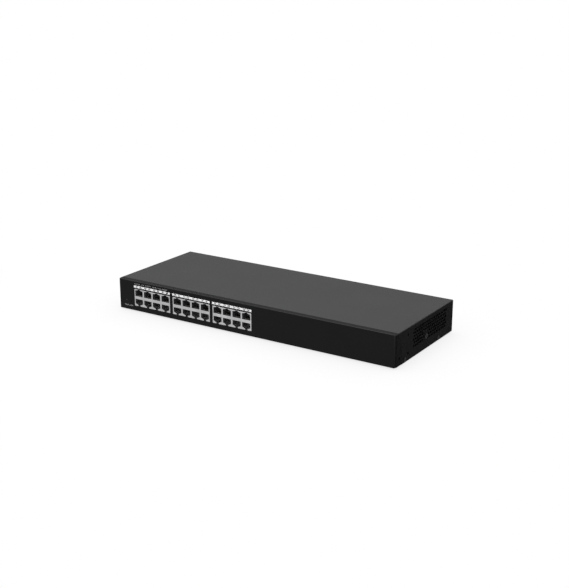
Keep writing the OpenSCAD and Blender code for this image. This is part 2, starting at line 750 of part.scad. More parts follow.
module reset_switch() color([0.1, 0.1, 0.1]) place() difference() {
  span([reset_x - switch_body.x / 2, reset_body_y, board_top],
       [reset_x + switch_body.x / 2, reset_body_y + switch_body.y, reset_z + switch_body.z / 2]);
  rod_y(reset_x, reset_z, 0, button_back_y + button_travel + stop_gap, button_r + button_fit);
}

module reset_button() color([0.75, 0.12, 0.1]) place()
  rod_y(reset_x, reset_z, button_y, button_back_y, button_r);

module main_board() color([0.05, 0.3, 0.16]) place() difference() {
  span([board_x0, board_y, board_z], [board_x1, board_back_y, board_top]);
  for (p = BOARD_HOLES) translate([p.x, p.y, 0]) cylinder(h = far, r = board_screw_r + screw_fit);
}

// Tapped pillars under a board, and the screws that hold the board down on them
module pillars(holes, top) for (p = holes) translate([p.x, p.y, tray_t]) difference() {
  cylinder(h = top - tray_t, r = standoff_r);
  translate([0, 0, -eps]) cylinder(h = far, r = board_screw_r + thread_fit);
}
module board_fixings(holes, top) for (p = holes) translate([p.x, p.y, top + board_t]) rotate([-90, 0, 0])
  pan_screw(board_screw_r, board_t + board_screw_grip, 2 * board_screw_r, board_screw_r);

module board_standoffs() color([0.7, 0.7, 0.68]) place() pillars(BOARD_HOLES, board_z);
module board_screws() color([0.7, 0.7, 0.7]) place() board_fixings(BOARD_HOLES, board_z);

module port_magnetics() color([0.12, 0.12, 0.13]) place() for (i = BLOCKS, c = COLUMNS)
  standing(column_at(i, c), magnetics_y, board_top, magnetics_size);

module switch_chip() color([0.1, 0.1, 0.1]) place() standing(field_x, chips_y, board_top, switch_size);

// A finned heat sink with upright fins along Y
module heatsink(x, y, z, size, fins) {
  pitch = (size.x - fin_t) / (fins - 1);
  standing(x, y, z, [size.x, size.y, fin_t]);
  for (k = [0:fins - 1]) translate([x - size.x / 2 + k * pitch, y - size.y / 2, z])
    cube([fin_t, size.y, size.z]);
}
module switch_heatsink() color([0.7, 0.71, 0.73]) place()
  heatsink(field_x, chips_y, board_top + switch_size.z, switch_sink, 10);

module phy_chips() color([0.1, 0.1, 0.1]) place() for (s = SIDES)
  standing(field_x + s * phy_dx, chips_y, board_top, phy_size);
module phy_heatsinks() color([0.7, 0.71, 0.73]) place() for (s = SIDES)
  heatsink(field_x + s * phy_dx, chips_y, board_top + phy_size.z, phy_sink, 7);

module memory_chips() color([0.12, 0.12, 0.12]) place() {
  standing(field_x + phy_dx / 2, chips_y + memory_dy, board_top, memory_size);
  standing(field_x + phy_dx / 2, chips_y - memory_dy, board_top, flash_size);
}
module clock_crystals() color([0.8, 0.8, 0.8]) place() for (k = [0.5, 1.5])
  standing(field_x - k * phy_dx, chips_y, board_top, crystal_size);

// A can capacitor with a rolled groove near its foot and a chamfered top
module can(x, y, z, r, h) translate([x, y, z]) rotate_extrude()
  polygon([[0, 0], [r, 0], [r, 4 * can_roll], [r - can_roll, 5 * can_roll], [r, 6 * can_roll],
           [r, h - can_roll], [r - can_roll, h], [0, h]]);

module board_capacitors() color([0.25, 0.26, 0.3]) place() for (k = [0:3])
  can(power_parts_x + k * (2 * board_can_r + 1), chips_y + board_can_dy, board_top,
      board_can_r, board_can_h);

module board_inductors() color([0.3, 0.3, 0.31]) place() for (k = [0:2])
  translate([power_parts_x + k * (inductor_w + 2), chips_y, board_top]) linear_extrude(inductor_w / 2)
    intersection() {
      square(inductor_w, center = true);
      rotate(45) square(1.2 * inductor_w, center = true);
    }

// An open-topped header with its long side along X, and the plug in it
module header(x, y, z) difference() {
  standing(x, y, z, header_size);
  standing(x, y, z + header_wall, [for (v = header_size) v - 2 * header_wall] + [0, 0, header_size.z]);
}
module plug(x, y, z) standing(x, y, z + header_wall, plug_size);
module board_power_header() color([0.93, 0.91, 0.85]) place()
  header(board_header_x, board_header_y, board_top);

module supply_board() color([0.55, 0.42, 0.2]) place() difference() {
  span([supply_x0, supply_y0, supply_z], [supply_x1, supply_y1, supply_top]);
  for (p = SUPPLY_HOLES) translate([p.x, p.y, 0]) cylinder(h = far, r = board_screw_r + screw_fit);
}
module supply_standoffs() color([0.7, 0.7, 0.68]) place() pillars(SUPPLY_HOLES, supply_z);
module supply_screws() color([0.7, 0.7, 0.7]) place() board_fixings(SUPPLY_HOLES, supply_z);

module supply_insulator() color([0.85, 0.85, 0.82]) place() difference() {
  span([supply_x0 - film_over, supply_y0 - film_over, tray_t],
       [supply_x1 + film_over, supply_y1 + film_over, tray_t + film_t]);
  for (p = SUPPLY_HOLES) translate([p.x, p.y, 0]) cylinder(h = far, r = standoff_r + screw_fit);
}

module transformer_core() color([0.2, 0.2, 0.21]) place() difference() {
  standing(core_x, core_y, supply_top, core_size);
  for (s = SIDES) standing(core_x + s * (leg_w + window_w) / 2, core_y, supply_top + yoke_h,
                           [window_w, far, core_size.z - 2 * yoke_h]);
}
module transformer_winding() color([0.85, 0.7, 0.2]) place() difference() {
  standing(core_x, core_y, supply_top + yoke_h + sheet_gap,
           [leg_w + 2 * (window_w - sheet_gap), core_size.y + 2 * window_w,
            core_size.z - 2 * (yoke_h + sheet_gap)]);
  standing(core_x, core_y, 0, [leg_w + 2 * sheet_gap, core_size.y + 2 * sheet_gap, far]);
}

module bulk_capacitor() color([0.12, 0.15, 0.3]) place()
  can(supply_x1 - bulk_r - edge_inset, core_y, supply_top, bulk_r, bulk_h);
module output_capacitors() color([0.12, 0.12, 0.13]) place() for (k = [-1:1])
  can(supply_x0 + output_r + edge_inset, core_y + k * output_pitch, supply_top, output_r, output_h);

module supply_heatsinks() color([0.65, 0.66, 0.68]) place() for (y = sink_y) {
  standing(sink_x, y, supply_top, sink_size);
  for (s = SIDES) standing(sink_x + s * (sink_size.x - sink_size.y) / 2, y + sink_size.y, supply_top,
                           [sink_size.y, 2 * sink_size.y, sink_size.z]);
}
module power_transistors() color([0.1, 0.1, 0.1]) place() for (y = sink_y)
  standing(sink_x, y + (sink_size.y + transistor_size.y) / 2, supply_top + pin_length, transistor_size);

// A wound ring that stands on a square foot
module line_choke() color([0.6, 0.32, 0.15]) place()
  translate([supply_x1 - choke_r - edge_inset, core_y + 2 * choke_r + edge_inset, supply_top]) {
    linear_extrude(choke_foot) square(2 * choke_r, center = true);
    linear_extrude(choke_foot + choke_h) difference() {
      circle(choke_r);
      circle(choke_r / 2);
    }
  }

module line_filter_capacitor() color([0.85, 0.75, 0.2]) place()
  standing(supply_x0 + filter_size.x / 2 + edge_inset, core_y + filter_dy, supply_top, filter_size);

// A glass fuse held in two clips
module line_fuse() color([0.8, 0.8, 0.78]) place()
  translate([supply_x1 - fuse_l, core_y - fuse_dy, supply_top]) {
    rod_x(0, 2 * fuse_r, -fuse_l / 2, fuse_l / 2, fuse_r);
    for (s = SIDES) standing(s * fuse_l * 0.4, 0, 0, [2 * fuse_r, 2.4 * fuse_r, 3 * fuse_r]);
  }
module supply_headers() color([0.93, 0.91, 0.85]) place() {
  header(dc_header_x, dc_header_y, supply_top);
  header(ac_header_x, ac_header_y, supply_top);
}

// Four leads from the supply's outlet to the main board, with a plug in the header at each end
module supply_harness() color([0.7, 0.1, 0.1]) place() {
  plug(dc_header_x, dc_header_y, supply_top);
  plug(board_header_x, board_header_y, board_top);
  for (k = [-1.5:1.5]) {
    a = [dc_header_x + k * wire_pitch, dc_header_y, supply_top + header_wall + plug_size.z];
    b = [board_header_x + k * wire_pitch, board_header_y, board_top + header_wall + plug_size.z];
    lead(curve(a, a + [0, 0, harness_rise], b + [0, 0, harness_rise], b), wire_r);
  }
}

module mains_leads() color([0.3, 0.2, 0.12]) place() {
  plug(ac_header_x, ac_header_y, supply_top);
  for (s = SIDES) {
    a = [inlet_x + s * pin_dx, inlet_back_y - tag_l, inlet_z - earth_rise / 2];
    b = [ac_header_x + s * wire_pitch, ac_header_y, supply_top + header_wall + plug_size.z];
    lead(curve(a, a - [0, tag_l, 0], b + [0, 0, tag_l], b), wire_r);
  }
}

module earth_lead() color([0.2, 0.5, 0.15]) place() {
  a = [inlet_x, inlet_back_y - tag_l, inlet_z + earth_rise / 2];
  b = [ground_x, back_in_y - wire_r - lead_gap, ground_z + lug_r + lead_gap];
  lead(curve(a, a - [0, tag_l, 0], b + [0, -tag_l, 2 * tag_l], b), wire_r);
  difference() {
    rod_y(ground_x, ground_z, back_in_y - washer_t, back_in_y, lug_r);
    rod_y(ground_x, ground_z, 0, far, ground_r + screw_fit);
  }
}

// The socket's outline in x and z, its two upper corners cut off
module socket_outline() translate([inlet_x, inlet_z]) polygon([
  [-socket_w / 2, -socket_h / 2], [socket_w / 2, -socket_h / 2],
  [socket_w / 2, socket_h / 2 - socket_cut], [socket_w / 2 - socket_cut, socket_h / 2],
  [socket_cut - socket_w / 2, socket_h / 2], [-socket_w / 2, socket_h / 2 - socket_cut]]);

// Repeats its child at the inlet's two screws
module at_inlet_screws() for (s = SIDES)
  translate([inlet_x + s * inlet_screw_pitch / 2, 0, inlet_z]) children();

// Repeats its child at the live, neutral and earth pins
module at_pins() for (p = [[-pin_dx, -earth_rise / 2], [pin_dx, -earth_rise / 2], [0, earth_rise / 2]])
  translate([inlet_x + p.x, 0, inlet_z + p.y]) children();

module inlet_housing() color([0.07, 0.07, 0.07]) place() difference() {
  union() {
    extrude_y(back_y, inlet_face_y) difference() {
      translate([inlet_x, inlet_z]) square([inlet_flange_w, inlet_flange_h], center = true);
      for (s = SIDES, t = SIDES)
        corner_cut(inlet_x + s * inlet_flange_w / 2, inlet_z + t * inlet_flange_h / 2,
                   -s, -t, flange_corner_r);
    }
    span([inlet_x - inlet_body_w / 2, inlet_back_y, inlet_z - inlet_body_h / 2],
         [inlet_x + inlet_body_w / 2, back_y + eps, inlet_z + inlet_body_h / 2]);
  }
  extrude_y(inlet_floor_y, far) socket_outline();
  at_pins() span([-pin_t / 2 - shell_fit, 0, -pin_w / 2 - shell_fit],
                 [pin_t / 2 + shell_fit, far, pin_w / 2 + shell_fit]);
  at_inlet_screws() rod_y(0, 0, 0, far, screw_r + screw_fit);
}

module inlet_pins() color([0.8, 0.8, 0.78]) place() at_pins()
  span([-pin_t / 2, inlet_back_y - tag_l + lead_gap, -pin_w / 2],
       [pin_t / 2, inlet_face_y - pin_set_back, pin_w / 2]);

module inlet_screws() color([0.2, 0.2, 0.21]) place() at_inlet_screws() translate([0, inlet_face_y, 0])
  rotate([0, 0, 180]) pan_screw(screw_r, inlet_flange_t + screw_l, head_r, head_h);

module ground_screw() color([0.8, 0.8, 0.78]) place() translate([ground_x, ground_head_y, ground_z])
  rotate([0, 0, 180]) pan_screw(ground_r, washer_t + tray_t + screw_l, 2 * ground_r, ground_head_h);

module ground_washer() color([0.8, 0.8, 0.78]) place() difference() {
  rod_y(ground_x, ground_z, back_y, ground_head_y, washer_r);
  rod_y(ground_x, ground_z, 0, far, ground_r + thread_fit);
}

front_bezel();
port_strips();
base_tray();
top_cover();
rubber_feet();
cover_side_screws();
wall_screws();
cover_rear_screws();
jack_housing_left();
jack_housing_middle();
jack_housing_right();
jack_shield_left();
jack_shield_middle();
jack_shield_right();
jack_contacts_left();
jack_contacts_middle();
jack_contacts_right();
light_pipe_left();
light_pipe_middle();
light_pipe_right();
status_leds();
power_light_pipe();
reset_switch();
reset_button();
main_board();
board_standoffs();
board_screws();
port_magnetics();
switch_chip();
switch_heatsink();
phy_chips();
phy_heatsinks();
memory_chips();
clock_crystals();
board_capacitors();
board_inductors();
board_power_header();
supply_board();
supply_standoffs();
supply_screws();
supply_insulator();
transformer_core();
transformer_winding();
bulk_capacitor();
output_capacitors();
supply_heatsinks();
power_transistors();
line_choke();
line_filter_capacitor();
line_fuse();
supply_headers();
supply_harness();
mains_leads();
earth_lead();
inlet_housing();
inlet_pins();
inlet_screws();
ground_screw();
ground_washer();
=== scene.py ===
"""Looks of the rack-width network switch: finishes, printed marks and stage for its solids."""
import json
import math

import bmesh
import bpy
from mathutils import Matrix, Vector


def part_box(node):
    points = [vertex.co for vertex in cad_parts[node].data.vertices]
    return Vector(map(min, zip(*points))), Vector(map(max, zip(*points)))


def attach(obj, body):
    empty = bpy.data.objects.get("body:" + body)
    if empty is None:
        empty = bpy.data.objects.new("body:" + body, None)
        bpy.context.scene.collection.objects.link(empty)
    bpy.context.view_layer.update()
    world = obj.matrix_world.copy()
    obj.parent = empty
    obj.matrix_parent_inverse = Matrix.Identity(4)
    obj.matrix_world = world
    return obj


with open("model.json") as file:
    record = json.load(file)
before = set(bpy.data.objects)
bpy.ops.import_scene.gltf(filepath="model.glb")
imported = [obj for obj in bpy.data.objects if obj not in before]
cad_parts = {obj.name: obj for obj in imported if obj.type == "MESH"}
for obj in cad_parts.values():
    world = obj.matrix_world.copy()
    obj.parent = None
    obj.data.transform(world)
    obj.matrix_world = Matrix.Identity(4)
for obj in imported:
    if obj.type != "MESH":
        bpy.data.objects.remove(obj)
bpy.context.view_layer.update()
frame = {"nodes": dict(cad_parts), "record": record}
nodes = frame["nodes"]
scene = bpy.context.scene

MM = 0.001
BODY = "case"
FRONT_Y = -84.0 * MM

# Camera of the photograph
CAMERA_AT = (0.794864, -1.223303, 0.506973)
CAMERA_AZIMUTH = math.radians(32.837)
CAMERA_ELEVATION = math.radians(17.837)
CAMERA_LENS = 67.91
CAMERA_CLIP = 0.01

# Light: a soft lamp overhead, a soft lamp in front, and a dim surround. A lamp's level is what it
# adds to a white surface that faces it.
LAMPS = {
    "overhead": dict(towards=(-0.08, 0.0, 1.0), distance=2.4, size=1.3, level=1.08),
    "front": dict(towards=(-0.22, -1.0, 0.24), distance=3.2, size=1.6, level=0.8),
}
SURROUND_LEVEL = 0.14

# Floor: what the camera sees of it, and the darker tone that it throws back on the part
WHITE = (1.0, 1.0, 1.0)
FLOOR_WHITE = 0.86
FLOOR_DARK = (0.04, 0.04, 0.0408)
FLOOR_HALF = 6.0
# Share of its own glow near the part, which grows to all of it between two distances
FLOOR_GLOW = 0.945
FLOOR_NEAR = 0.3
FLOOR_FAR = 0.5
# Depth, reach and samples of the contact shade
FLOOR_SHADE = 0.19
FLOOR_SHADE_REACH = 0.085
FLOOR_SHADE_SAMPLES = 16

# Ranges that a value is taken from or spread over. The last two are most of one noise, and of two
# added up.
UNIT = (0.0, 1.0)
FALLING = (1.0, 0.0)
ONE_NOISE = (0.3, 0.7)
TWO_NOISES = (0.7, 1.3)

# Detail and roughness of the noise behind the fine grain and behind the broad tone changes
FINE_NOISE = (3.0, 0.6)
BROAD_NOISE = (4.0, 0.55)

# Places of the colour sockets on a mix node
MIX_FIRST = 6
MIX_SECOND = 7
MIX_RESULT = 2


# Shader helpers

def new_material(name):
    material = bpy.data.materials.new(name)
    material.use_nodes = True
    tree = material.node_tree
    tree.nodes.clear()
    output = tree.nodes.new("ShaderNodeOutputMaterial")
    return material, tree, output


def add(tree, kind, **values):
    """A node of this kind, its attributes and then its sockets set by name."""
    node = tree.nodes.new(kind)
    for key, value in values.items():
        if hasattr(node, key):
            setattr(node, key, value)
        else:
            node.inputs[key.replace("_", " ")].default_value = value
    return node


def join(tree, source, target):
    tree.links.new(source, target)


def calculate(tree, operation, *values):
    node = add(tree, "ShaderNodeMath", operation=operation)
    for value, socket in zip(values, node.inputs):
        join(tree, value, socket)
    return node.outputs[0]


def split(tree, vector):
    """The x, y and z of a vector."""
    parts = tree.nodes.new("ShaderNodeSeparateXYZ")
    join(tree, vector, parts.inputs[0])
    return parts.outputs


def surface_normal(tree):
    return split(tree, tree.nodes.new("ShaderNodeNewGeometry").outputs["Normal"])


def is_seen_directly(tree):
    """1 for camera, mirror and glass rays, 0 for the rays that light the object."""
    path = tree.nodes.new("ShaderNodeLightPath").outputs
    seen = calculate(tree, "MAXIMUM", path["Is Camera Ray"], path["Is Glossy Ray"])
    return calculate(tree, "MAXIMUM", seen, path["Is Transmission Ray"])


def scaled(colour, k=1.0):
    """A colour made darker or lighter, as a socket takes it."""
    return tuple(min(1.0, c * k) for c in colour) + (1.0,)


def noise(tree, vector, size, detail, rough):
    texture = add(tree, "ShaderNodeTexNoise", Scale=1.0 / size, Detail=detail, Roughness=rough)
    join(tree, vector, texture.inputs["Vector"])
    return texture.outputs["Fac"]


def remap(tree, value, to, source):
    """A value of the source range, spread over another range and held inside it."""
    node = add(tree, "ShaderNodeMapRange", From_Min=source[0], From_Max=source[1],
               To_Min=to[0], To_Max=to[1])
    join(tree, value, node.inputs["Value"])
    return node.outputs["Result"]


def mix_colour(tree, factor, first, second):
    """A colour between first and second, each a tuple or a socket."""
    node = add(tree, "ShaderNodeMix", data_type="RGBA")
    join(tree, factor, node.inputs["Factor"])
    for index, value in ((MIX_FIRST, first), (MIX_SECOND, second)):
        if isinstance(value, tuple):
            node.inputs[index].default_value = value
        else:
            join(tree, value, node.inputs[index])
    return node.outputs[MIX_RESULT]


def object_space(tree, stretch=(1, 1, 1)):
    coordinates = tree.nodes.new("ShaderNodeTexCoord")
    mapping = add(tree, "ShaderNodeMapping", Scale=stretch)
    join(tree, coordinates.outputs["Object"], mapping.inputs["Vector"])
    return mapping.outputs["Vector"]


def finish(name, colour, vary=0.1, rough=(0.45, 0.6), metal=0.0, level=0.5, grain=0.4 * MM,
           bump=0.15, cloud=25 * MM, stretch=(1, 1, 1), pattern=None):
    """A surface with fine grain and its bump, broad tone changes and uneven gloss."""
    material, tree, output = new_material(name)
    shader = add(tree, "ShaderNodeBsdfPrincipled", Metallic=metal, Specular_IOR_Level=level)
    fine = noise(tree, object_space(tree, stretch), grain, *FINE_NOISE)
    broad = noise(tree, object_space(tree), cloud, *BROAD_NOISE)
    spread = remap(tree, calculate(tree, "ADD", fine, broad), UNIT, TWO_NOISES)
    base = mix_colour(tree, spread, scaled(colour, 1 - vary), scaled(colour, 1 + vary))
    if pattern:
        base = pattern(tree, base)
    join(tree, base, shader.inputs["Base Color"])
    join(tree, remap(tree, broad, rough, ONE_NOISE), shader.inputs["Roughness"])
    relief = add(tree, "ShaderNodeBump", Strength=bump, Distance=grain)
    join(tree, fine, relief.inputs["Height"])
    join(tree, relief.outputs["Normal"], shader.inputs["Normal"])
    join(tree, shader.outputs["BSDF"], output.inputs["Surface"])
    return material


# Patterns laid over a base colour, and where each one sets in

# Upward part of a normal, for a can's bare top and a moulding's painted lighter top and upper edge
CAN_TOP = (0.6, 0.7)
MOULDING_TOP = (0.7, 0.95)
MOULDING_BROW = (0.1, 0.3)
# Largest part of a normal, for a painted highlight on a rounded edge between flat faces
ROUNDED = (0.8, 0.985)
# Wave values from the gap between two turns to a turn, and from a board to its track
TURN = (0.2, 0.6)
TRACK = (0.5, 0.7)
# Repeat along an axis of a wave of scale 1
WAVE_REPEAT = math.pi / 10
# A board's patches: tracks over the size of one, its random value where they repeat along x or
# along y, and the stretch that keeps its walls upright
PATCH_TRACKS = 6
PATCH_ALONG = {"X": (0.41, 0.39), "Y": (0.59, 0.61)}
PATCH_STRETCH = (1, 1, 0.01)
# Distance from the middle of a cell, in cells, for a pad
PAD = (0.1, 0.13)
# Share of a bare end's reach where its sheath sets in
SHEATH_START = 0.98


def upward_faces(colour):
    """Bare metal on faces that look up, such as the top of a sleeved can."""
    def draw(tree, base):
        return mix_colour(tree, remap(tree, surface_normal(tree)["Z"], UNIT, CAN_TOP),
                          base, scaled(colour))
    return draw


def painted_edge_and_top_light(edge, brow, top):
    """Painted highlight on a moulding's rounded edges, lighter still on the upper ones, and a
    painted lighter top.
    """
    def draw(tree, base):
        normal = surface_normal(tree)
        flat = mix_colour(tree, remap(tree, normal["Z"], UNIT, MOULDING_TOP), base, scaled(top))
        turn = mix_colour(tree, remap(tree, normal["Z"], UNIT, MOULDING_BROW),
                          scaled(edge), scaled(brow))
        x, y, z = (calculate(tree, "ABSOLUTE", normal[axis]) for axis in "XYZ")
        largest = calculate(tree, "MAXIMUM", calculate(tree, "MAXIMUM", x, y), z)
        return mix_colour(tree, remap(tree, largest, FALLING, ROUNDED), flat, turn)
    return draw


def painted_light_behind_front(colour, start, end):
    """A darker front on a moulding, from its face to a depth where the lighter base colour takes
    over, a painted light in the hollows behind the face.
    """
    def draw(tree, base):
        y = split(tree, object_space(tree))["Y"]
        depth = remap(tree, y, UNIT, (FRONT_Y + start, FRONT_Y + end))
        return mix_colour(tree, depth, scaled(colour), base)
    return draw


def wave(tree, repeat, axis, distortion=0.0):
    texture = add(tree, "ShaderNodeTexWave", bands_direction=axis, Scale=WAVE_REPEAT / repeat,
                  Distortion=distortion)
    join(tree, object_space(tree), texture.inputs["Vector"])
    return texture.outputs["Fac"]


def patches(tree, size, **values):
    """Random patches of a board."""
    texture = add(tree, "ShaderNodeTexVoronoi", Scale=1 / size, **values)
    join(tree, object_space(tree, PATCH_STRETCH), texture.inputs["Vector"])
    return texture.outputs


def bands(size, axis, colour, distortion=0.0):
    """Turns of wire or tape as regular bands along one axis, size apart."""
    def draw(tree, base):
        turn = remap(tree, wave(tree, size, axis, distortion), UNIT, TURN)
        return mix_colour(tree, turn, scaled(colour), base)
    return draw


def tracks(size, line, pad):
    """Parallel tracks under a board's mask, in some of its patches, and small bright pads."""
    def draw(tree, base):
        chance = split(tree, patches(tree, size, distance="CHEBYCHEV")["Color"])["X"]
        for axis, limits in PATCH_ALONG.items():
            track = remap(tree, wave(tree, size / PATCH_TRACKS, axis), UNIT, TRACK)
            shown = calculate(tree, "MULTIPLY", remap(tree, chance, UNIT, limits), track)
            base = mix_colour(tree, shown, base, scaled(line))
        dots = remap(tree, patches(tree, size)["Distance"], FALLING, PAD)
        return mix_colour(tree, dots, base, scaled(pad))
    return draw


def bare_end(sheath, node, reach, colour):
    """A sheath's own pattern, with the bare ring at its end round the middle of another node."""
    low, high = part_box(node)
    middle = (low + high) / 2

    def draw(tree, base):
        apart = add(tree, "ShaderNodeVectorMath", operation="DISTANCE")
        join(tree, object_space(tree), apart.inputs[0])
        apart.inputs[1].default_value = middle
        bare = remap(tree, apart.outputs["Value"], FALLING, (SHEATH_START * reach, reach))
        return mix_colour(tree, bare, sheath(tree, base), scaled(colour))
    return draw


# Finishes by the record's material slots
FINISHES = {
    # Case
    "cover_coat": dict(
        colour=(0.0625, 0.0625, 0.0635), vary=0.07, rough=(0.72, 0.82), level=0.02,
        grain=0.7 * MM, bump=0.22, cloud=60 * MM),
    "tray_coat": dict(
        colour=(0.06, 0.06, 0.061), vary=0.07, rough=(0.72, 0.82), level=0.02,
        grain=0.7 * MM, bump=0.22, cloud=60 * MM),
    # Bezel: painted highlight on its rounded and upper edges, and its top painted lighter where
    # light falls
    "bezel_plastic": dict(
        colour=(0.0122, 0.0122, 0.0125), rough=(0.58, 0.68), level=0.02,
        grain=0.35 * MM, bump=0.2, cloud=40 * MM,
        pattern=painted_edge_and_top_light(edge=(0.022, 0.022, 0.0225), brow=(0.042, 0.042, 0.0425),
                             top=(0.017, 0.017, 0.0174))),
    "label_white": dict(
        colour=(0.96, 0.96, 0.96), vary=0.015, rough=(0.4, 0.5), level=0.3,
        grain=0.3 * MM, bump=0.04),
    "rubber": dict(
        colour=(0.02, 0.02, 0.02), vary=0.2, rough=(0.75, 0.9), level=0.2,
        grain=0.3 * MM, bump=0.3, cloud=5 * MM),
    "black_screw": dict(
        colour=(0.016, 0.016, 0.017), vary=0.25, metal=0.1, level=0.15,
        grain=0.25 * MM, cloud=3 * MM),
    "bright_steel": dict(
        colour=(0.6, 0.6, 0.6), rough=(0.25, 0.4), metal=1.0,
        grain=0.2 * MM, bump=0.08, cloud=3 * MM),
    # Jacks, lights and button
    # Jack housing: lighter behind its near-black front, a painted light inside the port cavities
    "jack_plastic": dict(
        colour=(0.14, 0.14, 0.142), vary=0.2, level=0.3,
        grain=0.3 * MM, bump=0.12, cloud=4 * MM, stretch=(1, 0.3, 1),
        pattern=painted_light_behind_front((0.012, 0.012, 0.0122), start=1.0 * MM, end=2.5 * MM)),
    "shield_nickel": dict(
        colour=(0.365, 0.365, 0.367), vary=0.06, rough=(0.32, 0.45), metal=1.0,
        grain=0.15 * MM, bump=0.08, cloud=9 * MM, stretch=(0.15, 1, 1)),
    # Contacts: gold darkened to a dull brown, a painted shade deep inside the port cavities
    "contact_gold": dict(
        colour=(0.06, 0.052, 0.04), vary=0.08, rough=(0.4, 0.55), metal=1.0,
        grain=0.1 * MM, bump=0.05, cloud=2 * MM),
    "light_pipe": dict(
        colour=(0.72, 0.74, 0.74), vary=0.04, rough=(0.2, 0.35), bump=0.05, cloud=4 * MM),
    "dark_lens": dict(
        colour=(0.016, 0.016, 0.018), rough=(0.15, 0.25), level=0.3,
        grain=0.3 * MM, bump=0.03, cloud=2 * MM),
    "lamp": dict(
        colour=(0.6, 0.58, 0.45), vary=0.06, rough=(0.25, 0.35),
        grain=0.2 * MM, bump=0.05, cloud=1 * MM),
    "button_red": dict(
        colour=(0.4, 0.03, 0.02), rough=(0.4, 0.5), grain=0.2 * MM, bump=0.1, cloud=2 * MM),
    # Boards and supply
    "board_green": dict(
        colour=(0.01, 0.1, 0.045), vary=0.15, rough=(0.3, 0.45), grain=0.3 * MM, bump=0.06,
        pattern=tracks(5 * MM, line=(0.02, 0.17, 0.07), pad=(0.62, 0.6, 0.55))),
    # Painted shade: the supply board and its tracks darkened for the shade inside the case
    "board_tan": dict(
        colour=(0.032, 0.026, 0.018), vary=0.12, rough=(0.5, 0.65), level=0.1,
        grain=0.5 * MM, bump=0.08,
        pattern=tracks(9 * MM, line=(0.025, 0.02, 0.013), pad=(0.08, 0.078, 0.074))),
    "chip_black": dict(
        colour=(0.02, 0.02, 0.022), vary=0.15, rough=(0.5, 0.65), level=0.3,
        grain=0.12 * MM, cloud=6 * MM),
    "sink_aluminium": dict(
        colour=(0.035, 0.035, 0.037), rough=(0.4, 0.55), metal=0.4,
        grain=0.12 * MM, bump=0.12, cloud=8 * MM, stretch=(1, 0.05, 1)),
    "can_sleeve": dict(
        colour=(0.03, 0.04, 0.1), rough=(0.25, 0.35), bump=0.05, cloud=5 * MM,
        pattern=upward_faces((0.2, 0.2, 0.21))),
    "ferrite": dict(
        colour=(0.06, 0.06, 0.065), vary=0.25, rough=(0.5, 0.7), level=0.3,
        grain=0.25 * MM, bump=0.3, cloud=4 * MM),
    # Painted shade: the winding darkened for the shade inside the case
    "winding": dict(
        colour=(0.045, 0.037, 0.018), vary=0.06, rough=(0.25, 0.4), grain=0.5 * MM, bump=0.08,
        pattern=bands(2.5 * MM, "Z", (0.026, 0.022, 0.011), 0.4)),
    # Painted shade: the copper darkened for the shade inside the case
    "copper": dict(
        colour=(0.022, 0.014, 0.011), rough=(0.4, 0.55), metal=0.3, level=0.1,
        grain=0.2 * MM, bump=0.1, cloud=3 * MM,
        pattern=bands(0.9 * MM, "DIAGONAL", (0.012, 0.007, 0.005), 1.0)),
    "white_plastic": dict(
        colour=(0.2, 0.196, 0.18), vary=0.05, rough=(0.4, 0.55),
        grain=0.3 * MM, bump=0.08, cloud=6 * MM),
    "insulator": dict(
        colour=(0.02, 0.02, 0.021), vary=0.06, rough=(0.5, 0.6), level=0.05,
        grain=0.6 * MM, bump=0.03),
    "lead_sheath": dict(
        colour=(0.045, 0.014, 0.014), rough=(0.35, 0.45),
        grain=0.3 * MM, bump=0.08, cloud=5 * MM),
    "earth_sheath": dict(
        colour=(0.1, 0.3, 0.05), vary=0.08, rough=(0.35, 0.45), grain=0.3 * MM, bump=0.08,
        pattern=bare_end(bands(10 * MM, "X", (0.6, 0.5, 0.03)),
                         node="ground_screw", reach=8 * MM, colour=(0.3, 0.3, 0.3))),
    # Painted shade: the filter tape darkened for the shade inside the case
    "filter_yellow": dict(
        colour=(0.08, 0.067, 0.028), vary=0.06, rough=(0.3, 0.4),
        grain=0.3 * MM, bump=0.06, cloud=6 * MM),
}
materials = {slot: finish(slot + "_finish", **values) for slot, values in FINISHES.items()}


def dress_nodes():
    """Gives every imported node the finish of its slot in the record."""
    for part in frame["record"]["subparts"]:
        mesh = nodes[part["node"]].data
        mesh.materials.clear()
        mesh.materials.append(materials[part["material_slot"]])


# Rounded edges: width of the rounding on each node's sharp edges
EDGE_WIDTHS = {
    "front_bezel": 0.25 * MM, "top_cover": 0.12 * MM, "base_tray": 0.12 * MM,
    "rubber_feet": 0.2 * MM, "cover_side_screws": 0.12 * MM, "wall_screws": 0.12 * MM,
    "cover_rear_screws": 0.12 * MM, "jack_shield_left": 0.06 * MM,
    "jack_shield_middle": 0.06 * MM, "jack_shield_right": 0.06 * MM,
    "jack_housing_left": 0.15 * MM, "jack_housing_middle": 0.15 * MM,
    "jack_housing_right": 0.15 * MM, "inlet_housing": 0.25 * MM, "inlet_pins": 0.3 * MM,
    "inlet_screws": 0.12 * MM, "ground_screw": 0.15 * MM, "ground_washer": 0.1 * MM,
}
EDGE_ANGLE = math.radians(40)
EDGE_SEGMENTS = 2
FLAT_ANGLE = math.radians(0.5)
WELD_GAP = 0.001 * MM


def soften(node, width):
    """Rounds a node's sharp edges by modifiers, and leaves its own mesh as it is."""
    piece = nodes[node]
    piece.modifiers.new("weld", "WELD").merge_threshold = WELD_GAP
    flat = piece.modifiers.new("flat", "DECIMATE")
    flat.decimate_type = "DISSOLVE"
    flat.angle_limit = FLAT_ANGLE
    edges = piece.modifiers.new("edges", "BEVEL")
    edges.width = width
    edges.segments = EDGE_SEGMENTS
    edges.limit_method = "ANGLE"
    edges.angle_limit = EDGE_ANGLE
    piece.modifiers.new("normals", "WEIGHTED_NORMAL").keep_sharp = True


# Printed marks

